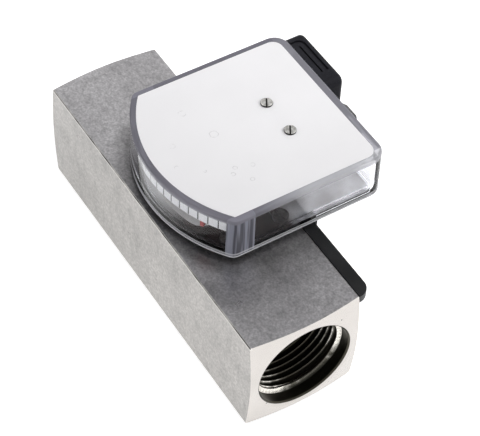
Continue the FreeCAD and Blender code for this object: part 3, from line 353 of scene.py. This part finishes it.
plateLook = {
    "colour": (0.93, 0.921, 0.93), "second": (0.90, 0.891, 0.90),
    "patch": (30.0, 2.0), "patchEdge": (0.4, 0.6),
    "ring": (0.50, 0.49, 0.49), "line": 0.15 * mm, "wobble": (900.0, 1.0), "wobbleWidth": 0.6 * mm,
    "broken": (700.0, 2.0), "brokenEdge": (0.40, 0.62), "brokenShare": (0.0, 0.42),
    "bubbles": ((-5.1, -7.1, 0.9), (3.4, -10.5, 0.7), (9.2, -3.6, 0.4), (12.7, 5.3, 0.7), (14.6, 3.4, 0.7),
                (14.3, 10.8, 0.7), (-3.0, 7.0, 1.4), (19.4, 7.5, 0.7), (-15.9, 2.8, 1.2)),
    "shadeWay": (0.97, -0.25), "shadeRun": (-28.0 * mm, 28.0 * mm), "shade": (1.0, 0.90),
    "under": (0.03, 0.03, 0.032), "facing": -0.5,
    "gloss": (400.0, 3.0), "rough": (0.30, 0.38),
    "wave": (260.0, 2.0), "waveShare": 0.3, "depth": 0.02 * mm,
}


def plateFinish(look):
    mat, shader = newMaterial("whiteEnamel")
    patches = ramp(mat, cloud(mat, *look["patch"]), *look["patchEdge"])
    tone = blend(mat, patches, look["colour"], look["second"])
    wobble = wander(mat, look["wobble"], look["wobbleWidth"])
    bubble = 0.0
    for x, y, radius in look["bubbles"]:
        away = plus(mat, nearTo(mat, (x * mm, y * mm, plateHigh.z)), wobble)
        fromRing = absolute(mat, minus(mat, away, radius * mm))
        bubble = most(mat, bubble, under(mat, fromRing, look["line"]))
    broken = ramp(mat, cloud(mat, *look["broken"]), *look["brokenEdge"], *look["brokenShare"])
    tone = blend(mat, times(mat, bubble, broken), tone, look["ring"])
    # painted shade: the plate is painted a touch greyer towards the inlet
    x, y = split(mat, onObject(mat))[:2]
    along = plus(mat, times(mat, x, look["shadeWay"][0]), times(mat, y, look["shadeWay"][1]))
    tone = shaded(mat, tone, ramp(mat, along, *look["shadeRun"], *look["shade"]))
    # painted shade: the plate's underside is painted near black
    isUnder = under(mat, split(mat, onObject(mat, "Normal"))[2], look["facing"])
    feed(mat, blend(mat, isUnder, tone, look["under"]), shader.inputs["Base Color"])
    gloss = ramp(mat, cloud(mat, *look["gloss"]), *finishLook["softEdge"], *look["rough"])
    feed(mat, gloss, shader.inputs["Roughness"])
    waves = times(mat, cloud(mat, *look["wave"]), look["waveShare"])
    bumped(mat, shader, plus(mat, waves, bubble), look["depth"])
    return mat


# Slotted screw heads: bright tops, with the slots and sides painted dark as shade

screwLook = {
    "top": (0.82, 0.81, 0.77), "topSecond": (0.50, 0.49, 0.46),
    "low": (0.035, 0.034, 0.032), "depth": 0.12 * mm,
    "scuff": (900.0, 3.0), "scuffEdge": (0.40, 0.60), "rough": (0.30, 0.42),
    "scratch": (1500.0, 2.0), "scratchDepth": 0.02 * mm,
}


def screwFinish(look):
    mat, shader = newMaterial("slottedSteel")
    # painted shade: below the top face the head is painted near black
    isTop = over(mat, split(mat, onObject(mat))[2], screwHigh.z - look["depth"])
    scuff = ramp(mat, cloud(mat, *look["scuff"]), *look["scuffEdge"])
    bright = blend(mat, scuff, look["top"], look["topSecond"])
    feed(mat, blend(mat, isTop, look["low"], bright), shader.inputs["Base Color"])
    shader.inputs["Metallic"].default_value = 1.0
    feed(mat, ramp(mat, scuff, 0.0, 1.0, *look["rough"]), shader.inputs["Roughness"])
    bumped(mat, shader, cloud(mat, *look["scratch"]), look["scratchDepth"])
    return mat


# The floor plate's screws are dull

capLook = {"colour": (0.20, 0.185, 0.18), "second": (0.08, 0.072, 0.07), "fleck": 0.10, "metal": 0.85,
           "rough": 0.42, "patch": 600.0, "grain": 1400.0, "depth": 0.02 * mm}


# Everything else: one look for each slot of the record

looks = {
    "black_plastic": {"colour": (0.017, 0.017, 0.021), "second": (0.026, 0.026, 0.031), "fleck": 0.18,
                      "specular": 0.05, "rough": 0.46, "patch": 60.0, "grain": 2400.0, "depth": 0.03 * mm},
    "black_metal": {"colour": (0.008, 0.008, 0.009), "second": (0.014, 0.014, 0.015), "fleck": 0.15,
                    "specular": 0.3, "rough": 0.38, "patch": 80.0, "grain": 1600.0, "depth": 0.02 * mm},
    "bright_steel": {"colour": (0.66, 0.65, 0.63), "second": (0.74, 0.73, 0.70), "fleck": 0.08, "metal": 1.0,
                     "rough": 0.26, "patch": 150.0, "grain": 900.0, "stretch": (1.0, 6.0, 6.0),
                     "depth": 0.008 * mm},
    "brass": {"colour": (0.78, 0.57, 0.26), "second": (0.70, 0.50, 0.24), "fleck": 0.07, "metal": 1.0,
              "rough": 0.28, "patch": 140.0, "grain": 900.0, "stretch": (6.0, 1.0, 1.0), "depth": 0.008 * mm},
    "magnet": {"colour": (0.14, 0.14, 0.15), "second": (0.20, 0.20, 0.21), "fleck": 0.16, "metal": 0.7,
               "rough": 0.45, "patch": 200.0, "grain": 2000.0, "depth": 0.02 * mm},
    "rubber": {"colour": (0.018, 0.018, 0.018), "second": (0.028, 0.027, 0.026), "fleck": 0.12,
               "rough": 0.72, "patch": 160.0, "grain": 2600.0, "depth": 0.02 * mm, "specular": 0.3},
    "grey_plastic": {"colour": (0.16, 0.165, 0.175), "second": (0.19, 0.195, 0.205), "fleck": 0.08,
                     "rough": 0.45, "patch": 120.0, "grain": 1800.0, "depth": 0.015 * mm},
    "sleeve_plastic": {"colour": (0.72, 0.69, 0.60), "second": (0.78, 0.75, 0.66), "fleck": 0.05,
                       "rough": 0.40, "patch": 70.0, "grain": 1400.0, "stretch": (8.0, 1.0, 1.0),
                       "depth": 0.012 * mm},
    "pointer_red": {"colour": (0.30, 0.018, 0.020), "second": (0.38, 0.028, 0.026), "fleck": 0.06,
                    "rough": 0.34, "patch": 160.0, "grain": 1500.0, "depth": 0.010 * mm},
    "pointer_frame": {"colour": (0.70, 0.69, 0.67), "second": (0.76, 0.75, 0.72), "fleck": 0.04,
                      "rough": 0.42, "patch": 110.0, "grain": 1500.0, "depth": 0.010 * mm},
    "board": {"colour": (0.020, 0.085, 0.045), "second": (0.030, 0.115, 0.060), "fleck": 0.10,
              "rough": 0.36, "patch": 500.0, "grain": 1700.0, "depth": 0.02 * mm},
    "lead_insulation": {"colour": (0.030, 0.030, 0.034), "second": (0.045, 0.045, 0.050), "fleck": 0.06,
                        "rough": 0.50, "patch": 300.0, "grain": 2500.0, "depth": 0.008 * mm},
    "dial_band": {"colour": (0.86, 0.86, 0.85), "second": (0.82, 0.82, 0.81), "fleck": 0.03,
                  "rough": 0.50, "patch": 120.0, "grain": 2200.0, "depth": 0.006 * mm},
}


def dress(node, mat):
    frame["nodes"][node].material_slots[0].material = mat


finishes = {slot: newFinish(slot.replace("_", "").capitalize(), look) for slot, look in looks.items()}
finishes["nickel_body"] = bodyFinish(bodyLook)
finishes["clear_plastic"] = clearFinish(clearLook)
finishes["white_plate"] = plateFinish(plateLook)
for part in frame["record"]["subparts"]:
    dress(part["node"], finishes[part["material_slot"]])
dress("cover_screws", screwFinish(screwLook))
dress("base_screws", newFinish("dullSteel", capLook))
frame["nodes"]["hood"].visible_shadow = False      # light reaches the inside through the clear plastic
print("finishes made:", len(finishes))


# Helpers for new pieces

def addPiece(name, points, faces, mat, smooth=False):
    mesh = bpy.data.meshes.new(name)
    mesh.from_pydata(points, [], faces)
    mesh.validate()
    work = bmesh.new()
    work.from_mesh(mesh)
    bmesh.ops.recalc_face_normals(work, faces=work.faces)
    work.to_mesh(mesh)
    work.free()
    mesh.materials.append(mat)
    for face in mesh.polygons:
        face.use_smooth = smooth
    piece = bpy.data.objects.new(name, mesh)
    scene.collection.objects.link(piece)
    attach(piece, "meter_body")
    return piece


def sweep(rings, closedRun=False):                 # faces between closed rings of points of one count
    count = len(rings[0])
    points = [p for ring in rings for p in ring]
    faces = []
    for i in range(len(rings) if closedRun else len(rings) - 1):
        a = i * count
        b = (i + 1) % len(rings) * count
        for k in range(count):
            n = (k + 1) % count
            faces.append((a + k, a + n, b + n, b + k))
    if not closedRun:
        faces.append(tuple(range(count - 1, -1, -1)))
        faces.append(tuple(len(points) - count + k for k in range(count)))
    return points, faces


def shifted(faces, count):                         # faces of a piece that is joined on after count points
    return [tuple(count + k for k in face) for face in faces]


def aroundFlow(x, radius, angle):                  # a point on a circle about the flow axis
    return (x, radius * math.cos(angle), flowZ + radius * math.sin(angle))


# Pipe thread in both ports. Profiles are (along, height) with the height from root to crest as 1.

threadLook = {
    "majorRadius": 16.62 * mm, "minorRadius": 15.15 * mm, "pitch": 2.309 * mm, "seat": 0.06 * mm,
    "startDepth": 5.2 * mm, "endDepth": 18.0 * mm, "stepsPerTurn": 60, "fadeTurns": 0.3,
    "profile": ((-0.47, 0.0), (-0.17, 0.80), (-0.08, 1.0), (0.08, 1.0), (0.17, 0.80), (0.47, 0.0)),
    "leadIn": ((4.05, 0.0), (4.70, 0.95), (4.85, 1.0), (5.2, 0.0)), "leadTo": 4.85 * mm, "leadShare": 0.98,
    "leadRough": (0.16, 0.16, 0.16), "root": (0.058, 0.053, 0.040), "crest": (0.90, 0.87, 0.80),
    "crestEdge": 4.0, "mottle": (500.0, 3.0), "mottleEdge": (0.35, 0.65), "mottleShare": (0.75, 1.1),
    "dimRun": (5.0 * mm, 17.0 * mm), "dim": (1.0, 0.30),
    "darkWay": (0.438, -0.899), "darkRun": (0.62, 0.86), "dark": (1.0, 0.06),
    "spot": (420.0, 3.0), "spots": 0.5,
    "rough": (0.42, 0.20), "scratch": (1300.0, 2.0, (1.0, 5.0, 5.0)), "scratchDepth": 0.02 * mm,
}


def threadFinish(look):
    mat, shader = newMaterial("cutThread")
    radius = axisDistance(mat)
    # painted light: the roots of the thread are painted dark as shade against the bright crests, made uneven by a
    # cloud
    height = ramp(mat, radius, look["majorRadius"], look["minorRadius"])
    mottle = ramp(mat, cloud(mat, *look["mottle"]), *look["mottleEdge"], *look["mottleShare"])
    share = sums("POWER", mat, sums("MINIMUM", mat, times(mat, height, mottle), 1.0), look["crestEdge"])
    x, y, z = split(mat, onObject(mat))
    # painted shade: the thread is painted darker deeper in the port
    fromMouth = minus(mat, endX, absolute(mat, x))
    share = times(mat, share, ramp(mat, fromMouth, *look["dimRun"], *look["dim"]))
    isLead = under(mat, fromMouth, look["leadTo"])
    share = most(mat, share, times(mat, isLead, look["leadShare"]))
    # painted shade: the lower part of the bore is painted darker
    along = plus(mat, times(mat, y, look["darkWay"][0]), times(mat, minus(mat, z, flowZ), look["darkWay"][1]))
    spots = wander(mat, look["spot"], look["spots"])
    way = plus(mat, sums("DIVIDE", mat, along, radius), spots)
    share = times(mat, share, ramp(mat, way, *look["darkRun"], *look["dark"]))
    feed(mat, blend(mat, share, look["root"], look["crest"]), shader.inputs["Base Color"])
    shader.inputs["Metallic"].default_value = 1.0
    matt = ramp(mat, height, 0.0, 1.0, *look["rough"])
    feed(mat, blend(mat, isLead, matt, look["leadRough"]), shader.inputs["Roughness"])
    bumped(mat, shader, cloud(mat, *look["scratch"]), look["scratchDepth"])
    return mat


def buildThread(name, way, look, mat):             # way is +1 at the inlet and -1 at the outlet
    outer = look["majorRadius"] + look["seat"]
    tall = outer - look["minorRadius"]
    perTurn = look["stepsPerTurn"]
    steps = int((look["endDepth"] - look["startDepth"]) / look["pitch"] * perTurn)
    fadeSteps = look["fadeTurns"] * perTurn
    rings = []
    for i in range(steps + 1):
        angle = -way * 2 * math.pi * i / perTurn
        depth = look["startDepth"] + look["pitch"] * i / perTurn
        fade = min(1.0, i / fadeSteps, (steps - i) / fadeSteps)
        ring = []
        for along, height in look["profile"]:
            x = way * (endX - depth - along * look["pitch"])
            ring.append(aroundFlow(x, outer - tall * height * fade, angle))
        rings.append(ring)
    points, faces = sweep(rings)
    leadRings = []
    for i in range(perTurn):
        angle = 2 * math.pi * i / perTurn
        leadRings.append([aroundFlow(way * (endX - depth * mm), outer - tall * height, angle)
                          for depth, height in look["leadIn"]])
    leadPoints, leadFaces = sweep(leadRings, closedRun=True)
    faces += shifted(leadFaces, len(points))
    addPiece(name, points + leadPoints, faces, mat)


cutThread = threadFinish(threadLook)
buildThread("inletThread", 1, threadLook, cutThread)
buildThread("outletThread", -1, threadLook, cutThread)
print("threads cut")


# Return spring wound again

springLook = {"wire": 0.45 * mm, "turns": 6, "stepsPerTurn": 32, "sides": 10}


def buildSpring(look, mat):
    low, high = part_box("return_spring")
    wire = look["wire"]
    radius = (high.y - low.y) / 2 - wire
    length = high.x - low.x
    steps = look["turns"] * look["stepsPerTurn"]
    rings = []
    for i in range(steps + 1):
        angle = 2 * math.pi * i / look["stepsPerTurn"]
        x = low.x + wire + (length - 2 * wire) * i / steps
        ring = []
        for k in range(look["sides"]):
            about = 2 * math.pi * k / look["sides"]
            ring.append(aroundFlow(x + wire * math.sin(about), radius + wire * math.cos(about), angle))
        rings.append(ring)
    points, faces = sweep(rings)
    spring = addPiece("returnCoil", points, faces, mat, smooth=True)
    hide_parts("return_spring")
    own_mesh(spring)


buildSpring(springLook, finishes["bright_steel"])
print("spring wound")


# Printed marks on the scale band, painted paler towards the outlet: painted glare, a reflection on the band

tickLook = {
    "first": -33.0, "gap": 4.4, "count": 16, "width": 0.42 * mm, "lift": 0.012 * mm, "thick": 0.022 * mm,
    "foot": 0.15 * mm, "paleRun": (4.0 * mm, -6.0 * mm), "paleShare": (0.0, 0.75),
    "ink": {"colour": (0.012, 0.012, 0.014), "second": (0.02, 0.02, 0.022), "fleck": 0.1,
            "rough": 0.55, "patch": 400.0, "grain": 2600.0, "depth": 0.004 * mm},
}


def buildTicks(look):
    ink = newFinish("tickInk", look["ink"])
    # painted reflection: the marks fade into the band towards the outlet
    paler = ramp(ink, split(ink, onObject(ink))[0], *look["paleRun"], *look["paleShare"])
    fadeTo(ink, paler, looks["dial_band"]["colour"])
    points = []
    faces = []
    low = bandLow.z + look["foot"]
    high = bandHigh.z - look["foot"]
    outer = bandRadius + look["lift"]
    inner = outer - look["thick"]
    half = look["width"] / 2 / bandRadius
    for k in range(look["count"]):
        middle = math.radians(look["first"] + k * look["gap"])
        rings = []
        for angle in (middle - half, middle + half):
            rings.append([(r * math.sin(angle), pivot.y - r * math.cos(angle), z)
                          for r, z in ((inner, low), (outer, low), (outer, high), (inner, high))])
        made, sides = sweep(rings)
        faces += shifted(sides, len(points))
        points += made
    addPiece("dialTicks", points, faces, ink)


buildTicks(tickLook)
print("dial marked")


# Under the hood: a dark film over the body, painted shade for the dark inside of the housing and paler towards the
# outlet, milky sheet over the overhang, white card along the dial

def roundCorner(centre, radius, fromAngle, toAngle, steps):
    points = []
    for i in range(steps + 1):
        angle = math.radians(fromAngle + (toAngle - fromAngle) * i / steps)
        points.append((centre[0] + radius * math.cos(angle), centre[1] + radius * math.sin(angle)))
    return points


def aroundPivot(radius, degrees):
    angle = math.radians(degrees)
    return (pivot.x + radius * math.sin(angle), pivot.y - radius * math.cos(angle))


def arcRun(radius, fromAngle, toAngle, steps):     # points along an arc about the pointer's pin
    return [aroundPivot(radius, fromAngle + (toAngle - fromAngle) * i / steps) for i in range(steps + 1)]


def layFlat(name, outline, look, mat):
    low = hoodLow.z + look["lift"]
    points, faces = sweep([[(x, y, z) for x, y in outline] for z in (low, low + look["thick"])])
    addPiece(name, points, faces, mat)


shadeFilmLook = {
    "wall": 3.2 * mm, "inset": 0.8 * mm, "thick": 0.22 * mm, "lift": 0.02 * mm,
    "arcSteps": 40, "endY": 13.0 * mm,
    "pale": (0.88, 0.88, 0.87), "paleRun": (11.0 * mm, -4.0 * mm),
    "finish": {"colour": (0.012, 0.008, 0.008), "second": (0.040, 0.017, 0.015), "fleck": 0.10,
               "specular": 0.12, "rough": 0.55, "patch": 70.0, "grain": 900.0, "depth": 0.002 * mm},
}


def buildShadeFilm(look):
    # painted shade: a dark sheet laid where the inside of the housing is in shade
    mat = newFinish("shadeFilm", look["finish"])
    fadeTo(mat, ramp(mat, split(mat, onObject(mat))[0], *look["paleRun"]), look["pale"])
    half = hoodHigh.x - look["wall"] - look["inset"]
    arc = bandRadius - look["inset"]
    spread = math.degrees(math.asin(half / arc))
    outline = arcRun(arc, -spread, spread, look["arcSteps"])
    outline += [(half, look["endY"]), (-half, look["endY"])]
    layFlat("shadeFilm", outline, look, mat)


sheetLook = {
    "wall": 3.2 * mm, "inset": 0.4 * mm, "thick": 0.26 * mm, "lift": 0.02 * mm, "corner": 3.0 * mm,
    "cornerSteps": 6, "brown": (0.07, 0.05, 0.045), "brownRun": (19.5 * mm, 16.0 * mm),
    "clearRun": (19.0 * mm, 27.0 * mm), "clearShare": (0.0, 0.72),
    "finish": {"colour": (0.95, 0.95, 0.96), "second": (0.60, 0.585, 0.59), "fleck": 0.10,
               "specular": 0.3, "rough": 0.42, "patch": 110.0, "grain": 260.0,
               "stretch": (1.0, 0.35, 1.0), "depth": 0.03 * mm},
}


def buildSheet(look):
    mat = newFinish("milkySheet", look["finish"])
    y = split(mat, onObject(mat))[1]
    shader = fadeTo(mat, ramp(mat, y, *look["brownRun"]), look["brown"])
    feed(mat, ramp(mat, y, *look["clearRun"], *look["clearShare"]), shader.inputs["Transmission Weight"])
    half = hoodHigh.x - look["wall"] - look["inset"]
    frontY = shadeFilmLook["endY"] + look["inset"]
    backY = hoodHigh.y - look["wall"] - look["inset"]
    c = look["corner"]
    outline = [(-half, frontY), (half, frontY)]
    outline += roundCorner((half - c, backY - c), c, 0, 90, look["cornerSteps"])
    outline += roundCorner((c - half, backY - c), c, 90, 180, look["cornerSteps"])
    layFlat("milkySheet", outline, look, mat)


cardLook = {
    "from": -31.0, "to": 17.0, "inner": 33.0 * mm, "outer": 43.0 * mm, "lift": 0.30 * mm, "thick": 0.30 * mm,
    "steps": 30, "endSteps": 8,
    "finish": {"colour": (0.80, 0.79, 0.76), "second": (0.66, 0.65, 0.63), "fleck": 0.04,
               "rough": 0.5, "patch": 80.0, "grain": 1500.0, "depth": 0.006 * mm},
}


def buildCard(look):
    mat = newFinish("dialCard", look["finish"])
    start, end = look["from"], look["to"]
    middle = (look["inner"] + look["outer"]) / 2
    half = (look["outer"] - look["inner"]) / 2
    outline = arcRun(look["outer"], start, end, look["steps"])
    outline += roundCorner(aroundPivot(middle, end), half, end - 90, end + 90, look["endSteps"])
    outline += arcRun(look["inner"], end, start, look["steps"])
    layFlat("dialCard", outline, look, mat)


buildShadeFilm(shadeFilmLook)
buildSheet(sheetLook)
buildCard(cardLook)
print("floor film, sheet and card laid")


# Floor and room: white to the camera and in reflections, no brighter on the object for it

stageLook = {"size": 8.0, "drop": 0.3 * mm, "colour": (0.80, 0.80, 0.80), "glow": 0.64,
             "horizon": (1.0, 1.0, 1.0), "sky": (0.31, 0.31, 0.32), "horizonEdge": (0.12, 0.60)}

floorMesh = bpy.data.meshes.new("floor")
reach = stageLook["size"] / 2
floorCorners = [(x * reach, y * reach, -stageLook["drop"]) for x, y in ((-1, -1), (1, -1), (1, 1), (-1, 1))]
floorMesh.from_pydata(floorCorners, [], [(0, 1, 2, 3)])
floor = bpy.data.objects.new("floor", floorMesh)
scene.collection.objects.link(floor)

floorMat = bpy.data.materials.new("paleFloor")
floorMat.use_nodes = True
floorMat.node_tree.nodes.clear()
diffuse = addNode(floorMat, "ShaderNodeBsdfDiffuse", Color=stageLook["colour"])
glow = addNode(floorMat, "ShaderNodeEmission", Color=(1.0, 1.0, 1.0), Strength=stageLook["glow"])
both = addNode(floorMat, "ShaderNodeAddShader")
feed(floorMat, diffuse.outputs[0], both.inputs[0])
feed(floorMat, glow.outputs[0], both.inputs[1])
rays = addNode(floorMat, "ShaderNodeLightPath").outputs
bent = most(floorMat, rays["Is Glossy Ray"], rays["Is Transmission Ray"])
seen = most(floorMat, rays["Is Camera Ray"], bent)
pick = addNode(floorMat, "ShaderNodeMixShader")
feed(floorMat, seen, pick.inputs[0])
feed(floorMat, diffuse.outputs[0], pick.inputs[1])
feed(floorMat, both.outputs[0], pick.inputs[2])
addNode(floorMat, "ShaderNodeOutputMaterial", Surface=pick.outputs[0])
floorMesh.materials.append(floorMat)

world = bpy.data.worlds.new("studio")
scene.world = world
world.use_nodes = True
world.node_tree.nodes.clear()
height = split(world, onObject(world, "Generated"))[2]
upward = ramp(world, height, *stageLook["horizonEdge"])
roomTone = blend(world, upward, stageLook["horizon"], stageLook["sky"])
room = addNode(world, "ShaderNodeBackground", Color=roomTone, Strength=1.0)
addNode(world, "ShaderNodeOutputWorld", Surface=room.outputs[0])


# Soft studio boxes, all turned to one point in the upper half of the body

lampAim = Vector((0, 0, 0.03))
lamps = {
    "keyBox": {"spot": (-0.55, -1.10, 1.25), "size": 0.9, "power": 5.0},
    "fillBox": {"spot": (1.10, 0.30, 1.10), "size": 0.9, "power": 3.2},
    "backBox": {"spot": (-0.496, 0.223, 0.393), "size": 0.35, "power": 0.22},
    "topBox": {"spot": (0.05, 0.14, 0.68), "size": 0.30, "power": 0.55},
    "rearBox": {"spot": (0.09, 0.27, 0.27), "size": 0.18, "power": 0.46},
}
for name, look in lamps.items():
    data = bpy.data.lights.new(name, "AREA")
    data.shape = "SQUARE"
    data.size = look["size"]
    data.energy = look["power"]
    lamp = bpy.data.objects.new(name, data)
    lamp.location = look["spot"]
    lamp.rotation_euler = (Vector(look["spot"]) - lampAim).to_track_quat("Z", "Y").to_euler()
    scene.collection.objects.link(lamp)


# Camera at the photo's angle: turn and rise say where it stands, seen from the object

cameraLook = {"spot": (0.31814, -0.19800, 0.46281), "turn": -34.002, "rise": 49.382, "roll": 2.892,
              "lens": 130.58, "sensor": 36.0, "nearClip": 0.01}
turn = math.radians(cameraLook["turn"])
rise = math.radians(cameraLook["rise"])
back = Vector((math.cos(rise) * math.cos(turn), math.cos(rise) * math.sin(turn), math.sin(rise)))
aim = back.to_track_quat("Z", "Y").to_matrix().to_4x4()
roll = Matrix.Rotation(math.radians(cameraLook["roll"]), 4, "Z")
camera = bpy.data.objects.new("camera", bpy.data.cameras.new("camera"))
camera.matrix_world = Matrix.Translation(cameraLook["spot"]) @ aim @ roll
camera.data.lens = cameraLook["lens"]
camera.data.sensor_width = cameraLook["sensor"]
camera.data.clip_start = cameraLook["nearClip"]
scene.collection.objects.link(camera)
scene.camera = camera
scene.view_settings.view_transform = "Standard"
print("stage, lamps and camera set")
